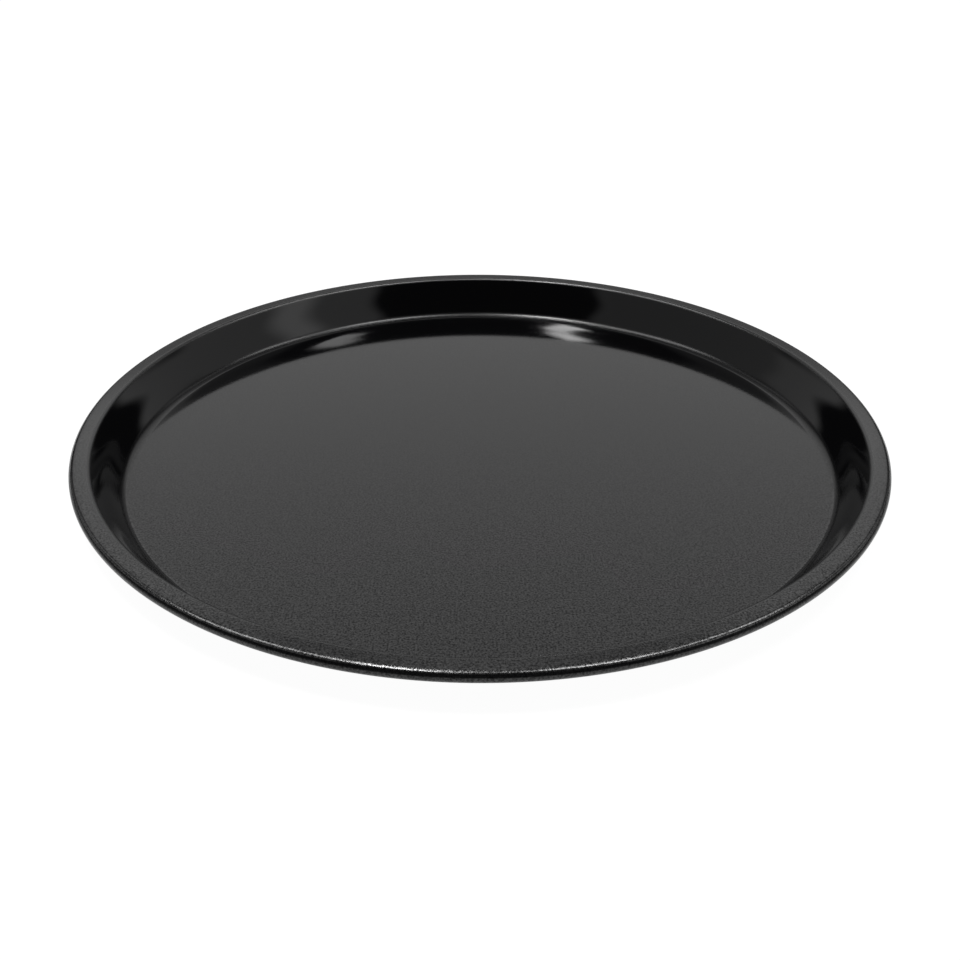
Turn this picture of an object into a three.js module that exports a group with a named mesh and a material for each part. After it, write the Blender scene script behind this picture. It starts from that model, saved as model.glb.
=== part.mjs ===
// Round baking pan: one round blank of steel sheet pressed into a shallow dish, with a land round the
// mouth that falls a little outward and its edge rolled over a ring of steel wire. Millimetres, +Z up,
// the origin at the centre of the underside that the pan stands on.
import * as THREE from "three";

// Driving dimensions of the pressed sheet.
const OUTER_DIAMETER = 330; // across the rolled edge
const PAN_DEPTH = 16.1; // from the top of the shoulder down to the baking floor
const SHEET_THICKNESS = 0.8;
const WALL_ANGLE = THREE.MathUtils.degToRad(54.4); // between the wall and the floor
const HEEL_RADIUS = 4.5; // inside bend from the floor up into the wall
const SHOULDER_RADIUS = 1.7; // outside bend from the wall out to the land
const LAND_WIDTH = 4.9; // straight strip between the shoulder and the rolled edge, along its slope
const LAND_TILT = THREE.MathUtils.degToRad(5.3); // fall of the land towards the rolled edge

// Driving dimensions of the rim wire and the curl around it.
const WIRE_DIAMETER = 2.5;
const WIRE_CLEARANCE = 0.3; // round the wire, inside the curl
const CURL_MOUTH = 0.3; // slit between the sheet's cut edge and the underside of the land
const BUTT_GAP = 0.8; // between the two cut ends of the wire

// Facets.
const SEGMENTS_ROUND = 96;
const HEEL_STEPS = 5;
const SHOULDER_STEPS = 4;
const CREST_STEPS = 1;
const CROWN_STEPS = 4;
const TUCK_STEPS = 10;
const WIRE_SIDES = 8;

// Sizes that follow from the driving dimensions.
const curlInnerRadius = WIRE_DIAMETER / 2 + WIRE_CLEARANCE;
const curlRadius = curlInnerRadius + SHEET_THICKNESS;
const wireRingRadius = OUTER_DIAMETER / 2 - curlRadius;
const floorTop = SHEET_THICKNESS;
const shoulderTop = floorTop + PAN_DEPTH;
const shoulderHeight = shoulderTop - SHOULDER_RADIUS;
const wireHeight =
  shoulderHeight +
  (SHOULDER_RADIUS - curlRadius) * Math.cos(LAND_TILT) -
  LAND_WIDTH * Math.sin(LAND_TILT);
const shoulderStart =
  wireRingRadius +
  (curlRadius - SHOULDER_RADIUS) * Math.sin(LAND_TILT) -
  LAND_WIDTH * Math.cos(LAND_TILT);
const wallRise =
  PAN_DEPTH - (HEEL_RADIUS + SHOULDER_RADIUS) * (1 - Math.cos(WALL_ANGLE));
const wallRun =
  wallRise / Math.tan(WALL_ANGLE) +
  (HEEL_RADIUS + SHOULDER_RADIUS) * Math.sin(WALL_ANGLE);
const floorRadius = shoulderStart - wallRun;
const cutEdgeAngle =
  Math.PI + Math.asin((curlInnerRadius - CURL_MOUTH) / curlRadius) + LAND_TILT;

const coatedSteel = new THREE.MeshStandardMaterial({
  color: "#1b1b1c",
  roughness: 0.3,
  metalness: 0,
});
const bareSteel = new THREE.MeshStandardMaterial({
  color: "#8d8f92",
  roughness: 0.4,
  metalness: 1,
});

// Points of an arc in the profile plane, x outward from the axis and y up, both ends included.
function arc(centreX, centreY, radius, from, to, steps) {
  return Array.from({ length: steps + 1 }, (_, i) => {
    const angle = from + ((to - from) * i) / steps;
    return new THREE.Vector2(
      centreX + radius * Math.cos(angle),
      centreY + radius * Math.sin(angle),
    );
  });
}

// One face of the sheet from the pan's axis out to its cut edge: heel, shoulder, the crest where the land
// begins to fall, the crown of the rolled edge, and the tuck that wraps the wire and ends under the land.
// The inside face has depth 0, and the underside lies a sheet's thickness deeper. Both faces bend round
// the same centres.
function sheetFace(depth) {
  const quarter = Math.PI / 2;
  const heel = arc(
    floorRadius,
    floorTop + HEEL_RADIUS,
    HEEL_RADIUS + depth,
    -quarter,
    -quarter + WALL_ANGLE,
    HEEL_STEPS,
  );
  const shoulder = arc(
    shoulderStart,
    shoulderHeight,
    SHOULDER_RADIUS - depth,
    quarter + WALL_ANGLE,
    quarter,
    SHOULDER_STEPS,
  );
  const crest = arc(
    shoulderStart,
    shoulderHeight,
    SHOULDER_RADIUS - depth,
    quarter,
    quarter - LAND_TILT,
    CREST_STEPS,
  );
  const crown = arc(
    wireRingRadius,
    wireHeight,
    curlRadius - depth,
    quarter - LAND_TILT,
    0,
    CROWN_STEPS,
  );
  const tuck = arc(
    wireRingRadius,
    wireHeight,
    curlRadius - depth,
    0,
    -cutEdgeAngle,
    TUCK_STEPS,
  );
  return [
    new THREE.Vector2(0, floorTop - depth),
    ...heel,
    ...shoulder,
    ...crest.slice(1),
    ...crown,
    ...tuck.slice(1),
  ];
}

// The pressed sheet: floor, heel, wall, shoulder, land and rolled edge are one piece of metal.
function panShell() {
  const profile = [
    ...sheetFace(SHEET_THICKNESS),
    ...sheetFace(0).reverse(),
  ];
  const geometry = new THREE.LatheGeometry(profile, SEGMENTS_ROUND);
  geometry.rotateX(Math.PI / 2);
  const mesh = new THREE.Mesh(geometry, coatedSteel);
  mesh.name = "pan_shell";
  return mesh;
}

// The line of the rim wire: a level circle, open by the gap between its cut ends.
class WireLine extends THREE.Curve {
  getPoint(t, target = new THREE.Vector3()) {
    const half = Math.PI - BUTT_GAP / (2 * wireRingRadius);
    const angle = Math.PI / 2 + THREE.MathUtils.lerp(Math.PI - half, Math.PI + half, t);
    return target.set(
      wireRingRadius * Math.cos(angle),
      wireRingRadius * Math.sin(angle),
      wireHeight,
    );
  }
}

// The wire that the edge is rolled over, one length bent to a ring with its ends butted at the back.
function rimWire() {
  const section = new THREE.Shape(
    arc(0, 0, WIRE_DIAMETER / 2, 0, 2 * Math.PI, WIRE_SIDES).slice(0, -1),
  );
  const geometry = new THREE.ExtrudeGeometry(section, {
    extrudePath: new WireLine(),
    steps: SEGMENTS_ROUND,
    bevelEnabled: false,
  });
  const mesh = new THREE.Mesh(geometry, bareSteel);
  mesh.name = "rim_wire";
  return mesh;
}

const bakingPan = new THREE.Group();
bakingPan.add(panShell(), rimWire());

export default bakingPan;
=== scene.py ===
"""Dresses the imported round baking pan: pressed black sheet steel with an edge rolled over a wire."""
import logging
import math
from dataclasses import dataclass
from enum import Enum
from typing import NamedTuple

import bmesh
import bpy
from mathutils import Matrix, Vector


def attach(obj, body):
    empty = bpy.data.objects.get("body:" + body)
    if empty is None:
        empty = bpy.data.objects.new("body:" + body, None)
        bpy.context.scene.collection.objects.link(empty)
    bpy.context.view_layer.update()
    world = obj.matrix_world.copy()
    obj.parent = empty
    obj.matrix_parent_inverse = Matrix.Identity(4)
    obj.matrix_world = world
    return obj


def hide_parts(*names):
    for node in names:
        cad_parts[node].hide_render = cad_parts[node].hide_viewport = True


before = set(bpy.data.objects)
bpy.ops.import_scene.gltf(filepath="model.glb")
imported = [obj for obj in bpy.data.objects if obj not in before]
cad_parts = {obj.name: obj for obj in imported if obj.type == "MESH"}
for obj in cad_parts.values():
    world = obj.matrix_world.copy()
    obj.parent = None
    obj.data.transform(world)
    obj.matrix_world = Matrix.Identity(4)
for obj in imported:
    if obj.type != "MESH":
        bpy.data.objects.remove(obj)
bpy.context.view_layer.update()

LOG = logging.getLogger("baking_pan")
MM = 0.001
BODY = "root"
IMAGE_PX = 960
QUARTER = math.pi / 2
SHARP_ANGLE = math.radians(40)
ZONE_LAYERS = ("grain", "roughness", "shine")


def linear(code: str) -> tuple[float, float, float, float]:
    """Turns an sRGB hex colour into linear values, by the curve of the sRGB standard.

    Args:
        code: the colour as six hex digits after a hash sign.

    Returns:
        Red, green, blue and an alpha of 1.
    """
    parts = [int(code[i:i + 2], 16) / 255 for i in (1, 3, 5)]
    r, g, b = (c / 12.92 if c <= 0.04045 else ((c + 0.055) / 1.055) ** 2.4 for c in parts)
    return r, g, b, 1.0


def add_node(tree: bpy.types.NodeTree, kind: str, links: dict[str | int, object] | None = None,
             **settings: object) -> bpy.types.Node:
    """Adds one node to a tree, with its settings and what feeds it.

    Args:
        tree: the node tree that the node joins.
        kind: Blender's name of the node type.
        links: input name or number to an output socket, or to a plain value for that input.
        settings: the node's own properties, by name.

    Returns:
        The new node.
    """
    node = tree.nodes.new(kind)
    for name, value in settings.items():
        setattr(node, name, value)
    for name, source in (links or {}).items():
        if isinstance(source, bpy.types.NodeSocket):
            tree.links.new(source, node.inputs[name])
        else:
            node.inputs[name].default_value = source
    return node


def new_material(name: str) -> tuple[bpy.types.Material, bpy.types.NodeTree]:
    """Makes an empty node material.

    Args:
        name: the material's name.

    Returns:
        The material and its node tree, with no nodes in it.
    """
    material = bpy.data.materials.new(name)
    material.use_nodes = True
    material.node_tree.nodes.clear()
    return material, material.node_tree


class Zone(Enum):
    """The areas of the pressed sheet, each with its share of spray grain, its roughness and its shine.

    The press irons the wall smooth and stretches the coating dull in the heel. The shoulder, the land
    and the crown of the rolled edge are polished by handling and stacking. The rolling dulls the
    flank, which was bent most, and less so the tuck below it.
    """

    FLOOR = (1.0, 0.07, 0.5)
    HEEL = (0.3, 0.24, 0.45)
    WALL = (0.1, 0.07, 0.5)
    SHOULDER = (0.3, 0.3, 0.85)
    LAND = (0.9, 0.18, 0.95)
    CROWN = (1.0, 0.23, 1.0)
    FLANK = (0.8, 0.3, 0.12)
    TUCK = (0.8, 0.3, 0.4)

    def __init__(self, grain: float, roughness: float, shine: float) -> None:
        """Keeps the three values by name.

        Args:
            grain: share of the spray grain that is left, from 0 to 1.
            roughness: roughness of the coating.
            shine: specular level of the coating.
        """
        self.grain = grain
        self.roughness = roughness
        self.shine = shine


class ProfilePoint(NamedTuple):
    """One point of the sheet's section, in metres."""

    radius: float
    height: float
    zone: Zone


@dataclass(frozen=True)
class CoatedSteel:
    """Non-stick coated steel: a black fluoropolymer sprayed on blasted sheet and baked.

    The film levels out as it melts, so it mirrors the room as dark lacquer does. The sheet under it
    leaves a fine orange peel, which the press has ironed flat on the wall. The spray lies coarser
    towards the front. The grain is drawn as coarse as it needs to be to show.
    """

    colour: str = "#060607"
    ior: float = 1.5
    grain_width: float = 0.7 * MM
    grain_height: float = 0.03 * MM
    grain_detail: float = 1.5
    peel_range: tuple[float, float] = (0.3, 0.7)
    shine_spread: float = 0.8
    coarse_front: tuple[float, float] = (20 * MM, -130 * MM)
    fine_share: float = 0.25

    def make(self) -> bpy.types.Material:
        """Builds the material.

        Returns:
            The coating as a node material.
        """
        material, tree = new_material("baked_nonstick_coating")
        place = add_node(tree, "ShaderNodeTexCoord")
        zone = {
            name: add_node(tree, "ShaderNodeAttribute", attribute_name=name).outputs["Fac"]
            for name in ZONE_LAYERS
        }
        way = add_node(tree, "ShaderNodeSeparateXYZ", {"Vector": place.outputs["Object"]})
        front = add_node(
            tree,
            "ShaderNodeMapRange",
            {
                "Value": way.outputs["Y"],
                "From Min": self.coarse_front[0],
                "From Max": self.coarse_front[1],
                "To Min": self.fine_share,
            },
        )
        share = add_node(
            tree, "ShaderNodeMath", {0: zone["grain"], 1: front.outputs[0]}, operation="MULTIPLY"
        )
        peel = add_node(
            tree,
            "ShaderNodeTexNoise",
            {
                "Vector": place.outputs["Object"],
                "Scale": 1 / self.grain_width,
                "Detail": self.grain_detail,
            },
        )
        relief = add_node(
            tree,
            "ShaderNodeBump",
            {
                "Height": peel.outputs["Fac"],
                "Strength": share.outputs[0],
                "Distance": self.grain_height,
            },
        )
        spots = add_node(
            tree,
            "ShaderNodeMapRange",
            {
                "Value": peel.outputs["Fac"],
                "From Min": self.peel_range[0],
                "From Max": self.peel_range[1],
                "To Min": 1 - self.shine_spread,
                "To Max": 1 + self.shine_spread,
            },
        )
        ironed = add_node(
            tree, "ShaderNodeMix", {"Factor": share.outputs[0], "A": 1.0, "B": spots.outputs["Result"]}
        )
        shine = add_node(
            tree, "ShaderNodeMath", {0: zone["shine"], 1: ironed.outputs[0]}, operation="MULTIPLY"
        )
        shader = add_node(
            tree,
            "ShaderNodeBsdfPrincipled",
            {
                "Base Color": linear(self.colour),
                "Roughness": zone["roughness"],
                "IOR": self.ior,
                "Specular IOR Level": shine.outputs[0],
                "Normal": relief.outputs["Normal"],
            },
        )
        add_node(tree, "ShaderNodeOutputMaterial", {"Surface": shader.outputs["BSDF"]})
        return material


@dataclass(frozen=True)
class DrawnWire:
    """Low-carbon steel wire, cold drawn through a die and left bare: a grey metal with a dull shine.

    The real marks of the die are finer than the mark's width here, which is as coarse as it needs to
    be to show.
    """

    colour: str = "#8d8f92"
    roughness: float = 0.35
    mark_width: float = 0.4 * MM
    mark_height: float = 0.01 * MM
    mark_strength: float = 0.3

    def make(self) -> bpy.types.Material:
        """Builds the material.

        Returns:
            The bare wire as a node material.
        """
        material, tree = new_material("drawn_steel_wire")
        place = add_node(tree, "ShaderNodeTexCoord")
        marks = add_node(
            tree, "ShaderNodeTexNoise", {"Vector": place.outputs["Object"], "Scale": 1 / self.mark_width}
        )
        relief = add_node(
            tree,
            "ShaderNodeBump",
            {
                "Height": marks.outputs["Fac"],
                "Strength": self.mark_strength,
                "Distance": self.mark_height,
            },
        )
        shader = add_node(
            tree,
            "ShaderNodeBsdfPrincipled",
            {
                "Base Color": linear(self.colour),
                "Metallic": 1.0,
                "Roughness": self.roughness,
                "Normal": relief.outputs["Normal"],
            },
        )
        add_node(tree, "ShaderNodeOutputMaterial", {"Surface": shader.outputs["BSDF"]})
        return material


@dataclass(frozen=True)
class SheetSection:
    """The section of the pressed sheet, with the sizes of the solids.

    The wall of a pressed sheet is never quite straight: it springs back into a shallow S between the
    heel and the shoulder. The spring angle is what its slope lacks of the straight wall's at both ends.
    The toe is the first part of the heel's bend, which keeps the gloss of the floor. The crown, the
    flank and the tuck follow each other round the rolled edge. The crown and the flank end at angles
    above level, and the tuck ends at the cut edge.
    """

    outer_radius: float = 165 * MM
    depth: float = 16.1 * MM
    thickness: float = 0.8 * MM
    wall_angle: float = math.radians(54.4)
    spring_angle: float = math.radians(2.0)
    heel_radius: float = 4.5 * MM
    toe_angle: float = math.radians(20.0)
    shoulder_radius: float = 1.7 * MM
    land_width: float = 4.9 * MM
    land_tilt: float = math.radians(5.3)
    crown_end: float = math.radians(45.0)
    flank_end: float = math.radians(18.0)
    wire_radius: float = 1.25 * MM
    wire_clearance: float = 0.3 * MM
    curl_mouth: float = 0.3 * MM
    floor_steps: int = 12
    toe_steps: int = 7
    heel_steps: int = 12
    wall_steps: int = 28
    shoulder_steps: int = 14
    fall_steps: int = 2
    land_steps: int = 4
    crown_steps: int = 12
    flank_steps: int = 6
    tuck_steps: int = 30

    @property
    def curl_inner(self) -> float:
        """Radius of the inside of the curl."""
        return self.wire_radius + self.wire_clearance

    @property
    def curl_radius(self) -> float:
        """Radius of the outside of the curl."""
        return self.curl_inner + self.thickness

    @property
    def cut_angle(self) -> float:
        """Angle from level, down and round under the wire, to the sheet's cut edge."""
        return math.pi + math.asin((self.curl_inner - self.curl_mouth) / self.curl_radius) + self.land_tilt

    @property
    def ring_radius(self) -> float:
        """Radius of the wire's circle round the pan's axis."""
        return self.outer_radius - self.curl_radius

    @property
    def rim_top(self) -> float:
        """Height of the shoulder's highest line, where the land begins to fall."""
        return self.thickness + self.depth

    @property
    def wire_height(self) -> float:
        """Works out how high the wire lies.

        Returns:
            Height of the wire's centre.
        """
        slant = self.land_width * math.sin(self.land_tilt)
        bend = self.shoulder_radius * (1 - math.cos(self.land_tilt))
        return self.rim_top - (slant + bend) - self.curl_radius * math.cos(self.land_tilt)

    @property
    def shoulder_start(self) -> float:
        """Works out where the shoulder is highest.

        Returns:
            Radius of the shoulder's highest line.
        """
        bends = self.curl_radius - self.shoulder_radius
        slant = self.land_width * math.cos(self.land_tilt)
        return self.ring_radius + bends * math.sin(self.land_tilt) - slant

    @property
    def floor_radius(self) -> float:
        """Works out where the flat floor ends and the heel begins.

        Returns:
            Radius of the flat floor.
        """
        bends = self.heel_radius + self.shoulder_radius
        rise = self.depth - bends * (1 - math.cos(self.wall_angle))
        run = rise / math.tan(self.wall_angle) + bends * math.sin(self.wall_angle)
        return self.shoulder_start - run

    def arc(self, centre: tuple[float, float], radius: float, turn: tuple[float, float], steps: int,
            zone: Zone) -> list[ProfilePoint]:
        """Points of an arc in the section.

        Args:
            centre: radius and height of the arc's centre.
            radius: the arc's own radius.
            turn: first and last angle.
            steps: how many chords the arc has.
            zone: the area of the sheet that it belongs to.

        Returns:
            The points, both ends included.
        """
        points = []
        for i in range(steps + 1):
            angle = turn[0] + (turn[1] - turn[0]) * i / steps
            out, up = radius * math.cos(angle), radius * math.sin(angle)
            points.append(ProfilePoint(centre[0] + out, centre[1] + up, zone))
        return points

    def line(self, start: ProfilePoint, end: ProfilePoint, steps: int, zone: Zone,
             swell: float = 0.0) -> list[ProfilePoint]:
        """Points between two ends, with none at the ends.

        Args:
            start: the end that the line leaves from.
            end: the end that it goes to.
            steps: how many parts the line has.
            zone: the area of the sheet that it belongs to.
            swell: the angle by which the line's ends turn away from the straight, for a shallow S.

        Returns:
            The points in order.
        """
        along = Vector((end.radius - start.radius, end.height - start.height))
        across = Vector((along.y, -along.x)) * math.tan(swell) / math.tau
        points = []
        for i in range(1, steps):
            share = i / steps
            step = along * share + across * math.sin(math.tau * share)
            points.append(ProfilePoint(start.radius + step.x, start.height + step.y, zone))
        return points

    def face(self, below: float) -> list[ProfilePoint]:
        """One face of the sheet, from the axis to the cut edge.

        Args:
            below: 0 for the inside face, the sheet's thickness for the underside.

        Returns:
            The face's points in order.
        """
        slope = self.wall_angle - self.spring_angle
        split = self.toe_angle - QUARTER
        land = QUARTER - self.land_tilt
        hollow = (self.floor_radius, self.thickness + self.heel_radius)
        inner = self.heel_radius + below
        toe = self.arc(hollow, inner, (-QUARTER, split), self.toe_steps, Zone.FLOOR)
        heel = self.arc(hollow, inner, (split, slope - QUARTER), self.heel_steps, Zone.HEEL)
        knuckle = (self.shoulder_start, self.rim_top - self.shoulder_radius)
        outer = self.shoulder_radius - below
        rise = self.arc(knuckle, outer, (QUARTER + slope, QUARTER), self.shoulder_steps, Zone.SHOULDER)
        fall = self.arc(knuckle, outer, (QUARTER, land), self.fall_steps, Zone.LAND)
        eye = (self.ring_radius, self.wire_height)
        curl = self.curl_radius - below
        crown = self.arc(eye, curl, (land, self.crown_end), self.crown_steps, Zone.CROWN)
        flank = self.arc(eye, curl, (self.crown_end, self.flank_end), self.flank_steps, Zone.FLANK)
        tuck = self.arc(eye, curl, (self.flank_end, -self.cut_angle), self.tuck_steps, Zone.TUCK)
        axis = ProfilePoint(0.0, self.thickness - below, Zone.FLOOR)
        return [
            axis,
            *self.line(axis, toe[0], self.floor_steps, Zone.FLOOR),
            *toe,
            *heel[1:],
            *self.line(heel[-1], rise[0], self.wall_steps, Zone.WALL, self.spring_angle),
            *rise,
            *fall[1:],
            *self.line(fall[-1], crown[0], self.land_steps, Zone.LAND),
            *crown,
            *flank[1:],
            *tuck[1:],
        ]


@dataclass
class PanShell:
    """The pressed sheet, from the floor to the rolled edge."""

    section: SheetSection
    finish: CoatedSteel
    segments: int = 360
    name: str = "pan_sheet"
    node: str = "pan_shell"
    slot: str = "coated_steel"

    def outline(self) -> list[ProfilePoint]:
        """The closed section, from the axis along the underside and back along the inside."""
        return self.section.face(self.section.thickness) + self.section.face(0.0)[::-1]

    def build(self) -> bpy.types.Object:
        """Makes the piece, dresses it and sets it in the frame.

        Returns:
            The finished piece.
        """
        piece = bpy.data.objects.new(self.name, self.turned())
        self.dress(piece)
        bpy.context.scene.collection.objects.link(piece)
        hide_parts(self.node)
        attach(piece, BODY)
        return piece

    def dress(self, piece: bpy.types.Object) -> None:
        """Gives the piece its coating."""
        piece.data.materials.append(self.finish.make())

    def turned(self) -> bpy.types.Mesh:
        """Turns the section round the axis into one closed mesh.

        Returns:
            The mesh, with the values of the zones on its vertices.
        """
        mesh = bpy.data.meshes.new(self.name)
        work = bmesh.new()
        layers = {name: work.verts.layers.float.new(name) for name in ZONE_LAYERS}
        rings = [self.ring(work, layers, point) for point in self.outline()]
        for first, second in zip(rings, rings[1:]):
            self.bridge(work, first, second)
        bmesh.ops.recalc_face_normals(work, faces=work.faces)
        for face in work.faces:
            face.smooth = True
        work.to_mesh(mesh)
        work.free()
        mesh.set_sharp_from_angle(angle=SHARP_ANGLE)
        return mesh

    def ring(self, work: bmesh.types.BMesh, layers: dict[str, bmesh.types.BMLayerItem],
             point: ProfilePoint) -> list[bmesh.types.BMVert]:
        """Adds one circle of vertices.

        Args:
            work: the mesh being made.
            layers: the vertex layers of the finish, each named for the zone's value that it holds.
            point: the point of the section that is turned.

        Returns:
            The circle's vertices, or one vertex on the axis.
        """
        count = self.segments if point.radius > 0 else 1
        verts = []
        for k in range(count):
            angle = math.tau * k / self.segments
            vert = work.verts.new(
                (point.radius * math.cos(angle), point.radius * math.sin(angle), point.height)
            )
            for name, layer in layers.items():
                vert[layer] = getattr(point.zone, name)
            verts.append(vert)
        return verts

    def bridge(self, work: bmesh.types.BMesh, first: list[bmesh.types.BMVert],
               second: list[bmesh.types.BMVert]) -> None:
        """Joins two circles with faces.

        Args:
            work: the mesh being made.
            first: one circle's vertices, or one vertex.
            second: the next circle's vertices, or one vertex.
        """
        for k in range(self.segments):
            after = (k + 1) % self.segments
            if len(first) == 1:
                work.faces.new((first[0], second[k], second[after]))
            elif len(second) == 1:
                work.faces.new((first[k], first[after], second[0]))
            else:
                work.faces.new((first[k], first[after], second[after], second[k]))


@dataclass
class RimWire:
    """The ring of wire inside the rolled edge."""

    finish: DrawnWire
    node: str = "rim_wire"

    def build(self) -> bpy.types.Object:
        """Dresses the wire's own solid.

        Returns:
            The wire's object.
        """
        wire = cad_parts[self.node]
        wire.data.materials.clear()
        wire.data.materials.append(self.finish.make())
        return wire


@dataclass(frozen=True)
class Screen:
    """One lit screen of the surround, as a patch of bearing and elevation with soft edges, in degrees.

    Bearings run from the back of the table, to the right positive. The top of a screen rises by its
    slope for every degree of bearing away from the back.
    """

    bearing: tuple[float, float]
    elevation: tuple[float, float]
    soft: tuple[float, float]
    level: float
    slope: float = 0.0

    def share(self, tree: bpy.types.NodeTree, bearing: bpy.types.NodeSocket,
              elevation: bpy.types.NodeSocket, turn: bpy.types.NodeSocket) -> bpy.types.NodeSocket:
        """Works out how far a direction lies inside the screen.

        Args:
            tree: the node tree of the surround.
            bearing: the direction's bearing.
            elevation: the direction's elevation.
            turn: the bearing without its sign.

        Returns:
            A socket that is 1 inside the screen and falls to 0 over its soft edges.
        """
        top = add_node(
            tree, "ShaderNodeMath", {0: turn, 1: -self.slope, 2: elevation}, operation="MULTIPLY_ADD"
        )
        edges = (
            (bearing, self.bearing[0], self.soft[0]),
            (bearing, self.bearing[1], -self.soft[0]),
            (elevation, self.elevation[0], self.soft[1]),
            (top.outputs[0], self.elevation[1], -self.soft[1]),
        )
        inside = 1.0
        for angle, edge, soft in edges:
            ramp = add_node(
                tree,
                "ShaderNodeMapRange",
                {
                    "Value": angle,
                    "From Min": math.radians(edge - soft),
                    "From Max": math.radians(edge + soft),
                },
                interpolation_type="SMOOTHSTEP",
            )
            both = add_node(tree, "ShaderNodeMath", {0: ramp.outputs[0], 1: inside}, operation="MULTIPLY")
            inside = both.outputs[0]
        return inside


@dataclass(frozen=True)
class Lamp:
    """One light panel under the ceiling, facing down: its place, its size in metres and its brightness."""

    place: tuple[float, float]
    size: tuple[float, float]
    level: float


# A later screen lies over the ones before it. They stand to the right of the table, to its left, in front
# of it in two halves, and behind it.
SCREENS = (
    Screen((40, 138), (13, 0.8), (4, 2), 0.45, 0.4),
    Screen((68, 138), (13, 5), (4, 2), 0.45, 0.42),
    Screen((102, 115), (13, 5), (5, 2), 1.1, 0.42),
    Screen((44, 57), (25, 50), (3, 2), 0.7),
    Screen((-133, -40), (13, 0.8), (4, 2), 0.45, 0.4),
    Screen((-133, -68), (13, 5), (4, 2), 0.29, 0.42),
    Screen((-57, -44), (25, 50), (3, 2), 0.7),
    Screen((148, 190), (16, 34), (6, 3), 0.45),
    Screen((-190, -148), (16, 34), (6, 3), 0.45),
    Screen((-36, 36), (20, 60), (8, 3), 0.25),
    Screen((-28, 28), (20, 43), (8, 3), 0.75),
    Screen((-7, 7), (40, 60), (4, 3), 0.5),
    Screen((-20, 20), (-90, 19), (4, 3), 0.20),
)
LAMPS = (
    Lamp((-0.350, -0.20), (0.22, 0.40), 42.0),
    Lamp((0.53, -0.15), (0.58, 0.40), 10.5),
    Lamp((-1.10, 0.20), (1.10, 0.50), 4.8),
    Lamp((1.25, 0.30), (0.90, 0.45), 4.8),
    Lamp((-0.245, 0.41), (0.08, 0.28), 32.0),
    Lamp((0.42, 0.54), (0.16, 0.20), 9.0),
)


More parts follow.
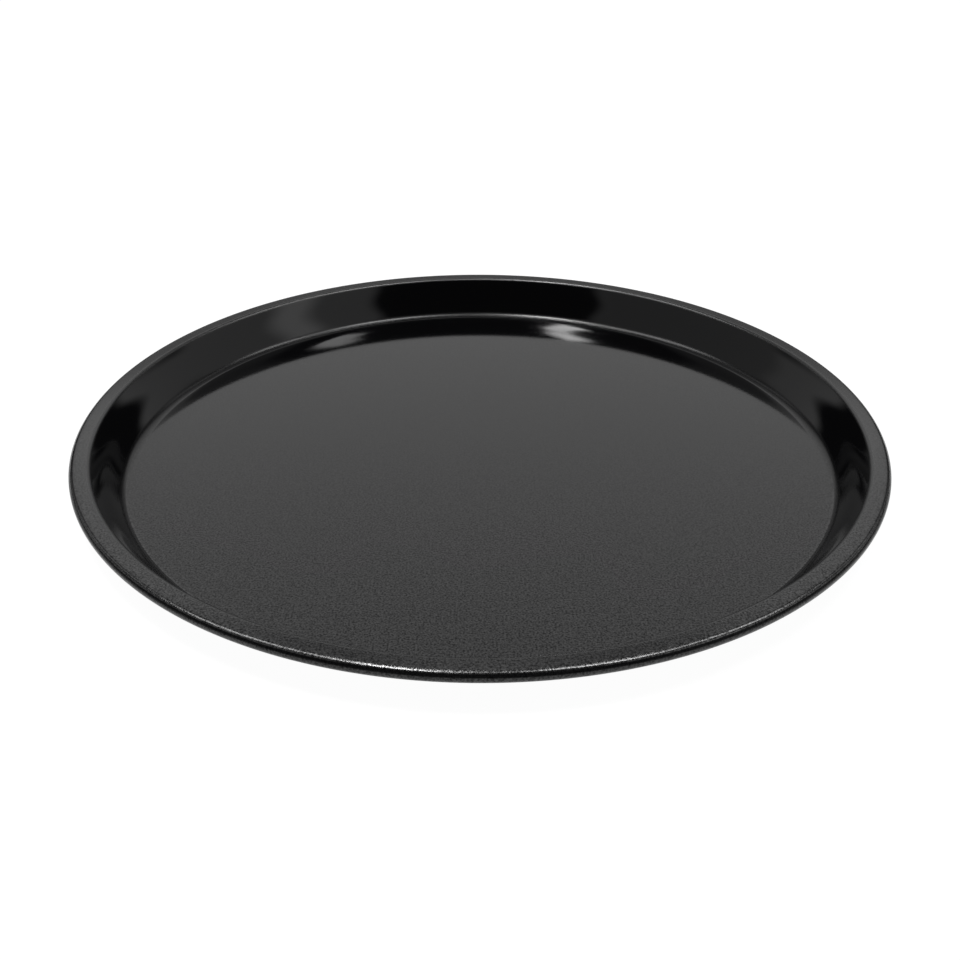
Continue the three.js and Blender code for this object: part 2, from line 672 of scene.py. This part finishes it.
@dataclass
class Studio:
    """A white table in a dark room, with lit screens round it and light panels under the ceiling.

    The camera's distance and aim are in units of the pan's outer radius.
    """

    unit: float = SheetSection().outer_radius
    rim_height: float = SheetSection().wire_height
    distance: float = 3.5
    elevation: float = math.radians(28.296)
    focal_px: float = 1394.9
    aim: tuple[float, float] = (0.0001, -0.25158)
    roll: float = 0.00272
    sensor_mm: float = 36.0
    near_clip: float = 0.01
    lamp_height: float = 1.7
    room_level: float = 0.008
    backdrop_colour: str = "#ffffff"
    backdrop_level: float = 1.0
    table_colour: str = "#585858"
    table_glow: float = 0.965
    table_radius: float = 4.0
    table_segments: int = 64
    table_drop: float = 0.1 * MM

    def camera(self) -> bpy.types.Object:
        """Places the camera at the photograph's viewing angle.

        Returns:
            The camera's object.
        """
        data = bpy.data.cameras.new("camera")
        data.sensor_fit = "HORIZONTAL"
        data.sensor_width = self.sensor_mm
        data.lens = self.focal_px / IMAGE_PX * self.sensor_mm
        data.clip_start = self.near_clip
        camera = bpy.data.objects.new("camera", data)
        bpy.context.scene.collection.objects.link(camera)
        camera.location = (
            0,
            -self.distance * math.cos(self.elevation) * self.unit,
            self.distance * math.sin(self.elevation) * self.unit + self.rim_height,
        )
        target = Vector((self.aim[0] * self.unit, self.aim[1] * self.unit, self.rim_height))
        turn = (target - camera.location).to_track_quat("-Z", "Y").to_matrix()
        camera.rotation_euler = (turn @ Matrix.Rotation(self.roll, 3, "Z")).to_euler()
        bpy.context.scene.camera = camera
        return camera

    def lamps(self) -> None:
        """Hangs the light panels above the pan."""
        for i, panel in enumerate(LAMPS):
            data = bpy.data.lights.new(f"panel_{i}", "AREA")
            data.shape = "RECTANGLE"
            data.size, data.size_y = panel.size
            data.energy = panel.level * math.pi * data.size * data.size_y
            lamp = bpy.data.objects.new(f"panel_{i}", data)
            lamp.location = (*panel.place, self.lamp_height)
            bpy.context.scene.collection.objects.link(lamp)

    def table(self) -> bpy.types.Object:
        """Lays the table under the pan, a hair below the base so that no two faces share a plane.

        Its glow brings it to white, and its grey paint takes the pan's shadow.

        Returns:
            The table's object.
        """
        mesh = bpy.data.meshes.new("table")
        work = bmesh.new()
        bmesh.ops.create_circle(
            work, cap_ends=True, radius=self.table_radius, segments=self.table_segments
        )
        work.to_mesh(mesh)
        work.free()
        material, tree = new_material("white_table")
        paint = add_node(tree, "ShaderNodeBsdfDiffuse", {"Color": linear(self.table_colour)})
        glow = add_node(tree, "ShaderNodeEmission", {"Strength": self.table_glow})
        both = add_node(tree, "ShaderNodeAddShader", {0: paint.outputs[0], 1: glow.outputs[0]})
        add_node(tree, "ShaderNodeOutputMaterial", {"Surface": both.outputs[0]})
        mesh.materials.append(material)
        table = bpy.data.objects.new("table", mesh)
        table.location.z = -self.table_drop
        bpy.context.scene.collection.objects.link(table)
        return table

    def surround(self) -> None:
        """Makes the dark room with its lit screens, which the camera itself sees as plain white."""
        world = bpy.data.worlds.new("surround")
        bpy.context.scene.world = world
        world.use_nodes = True
        tree = world.node_tree
        tree.nodes.clear()
        place = add_node(tree, "ShaderNodeTexCoord")
        way = add_node(tree, "ShaderNodeSeparateXYZ", {"Vector": place.outputs["Generated"]})
        bearing = add_node(
            tree, "ShaderNodeMath", {0: way.outputs["X"], 1: way.outputs["Y"]}, operation="ARCTAN2"
        )
        elevation = add_node(tree, "ShaderNodeMath", {0: way.outputs["Z"]}, operation="ARCSINE")
        turn = add_node(tree, "ShaderNodeMath", {0: bearing.outputs[0]}, operation="ABSOLUTE")
        level = self.room_level
        for screen in SCREENS:
            share = screen.share(tree, bearing.outputs[0], elevation.outputs[0], turn.outputs[0])
            blend = add_node(tree, "ShaderNodeMix", {"Factor": share, "A": level, "B": screen.level})
            level = blend.outputs[0]
        ray = add_node(tree, "ShaderNodeLightPath")
        strength = add_node(
            tree,
            "ShaderNodeMix",
            {"Factor": ray.outputs["Is Camera Ray"], "A": level, "B": self.backdrop_level},
        )
        white = add_node(
            tree,
            "ShaderNodeBackground",
            {"Color": linear(self.backdrop_colour), "Strength": strength.outputs[0]},
        )
        add_node(tree, "ShaderNodeOutputWorld", {"Surface": white.outputs[0]})

    def build(self) -> None:
        """Sets up the table, light and camera."""
        bpy.context.scene.view_settings.view_transform = "Standard"
        self.camera()
        self.lamps()
        self.table()
        self.surround()


def main() -> None:
    """Builds the studio and the pan, and reports each piece."""
    logging.basicConfig(level=logging.INFO, format="%(message)s")
    Studio().build()
    for part in (PanShell(SheetSection(), CoatedSteel()), RimWire(DrawnWire())):
        piece = part.build()
        LOG.info("%s: %d faces", piece.name, len(piece.data.polygons))


if __name__ == "__main__":
    main()
